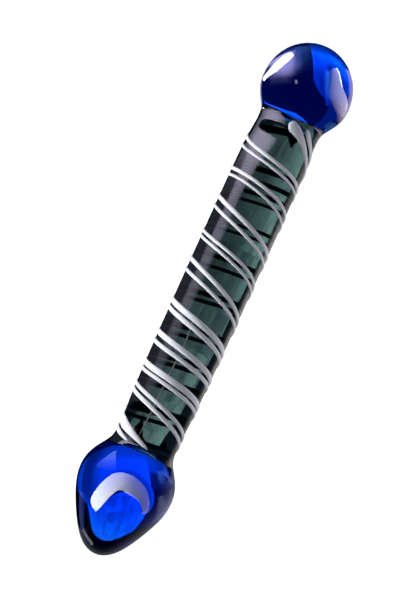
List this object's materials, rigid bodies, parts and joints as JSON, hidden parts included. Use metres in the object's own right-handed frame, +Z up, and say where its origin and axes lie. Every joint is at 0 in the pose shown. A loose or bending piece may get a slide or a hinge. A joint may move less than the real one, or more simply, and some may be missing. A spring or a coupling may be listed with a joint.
{
  "type": "glass massage wand",
  "caption": "Solid glass wand: teal rod wound with white glass threads, a blue ball at one end and a blunt-pointed blue bulb at the other.",
  "frame": {"origin": "under the middle of the wand, on the surface it lies on", "axes": "+X along the wand from the pointed bulb to the ball, +Z up from the surface it lies on"},
  "size_m": [0.188, 0.033, 0.0325],
  "materials": {
    "teal_glass": "fire-polished, smoky teal, see-through",
    "blue_glass": "fire-polished, deep cobalt blue, see-through",
    "white_glass": "glossy, opaque white"
  },
  "bodies": {
    "root": {"shaft_rod": "teal_glass", "ball_end": "blue_glass", "bulb_end": "blue_glass", "thread_a1": "white_glass", "thread_a2": "white_glass", "thread_b1": "white_glass", "thread_b2": "white_glass"}
  },
  "joints": []
}
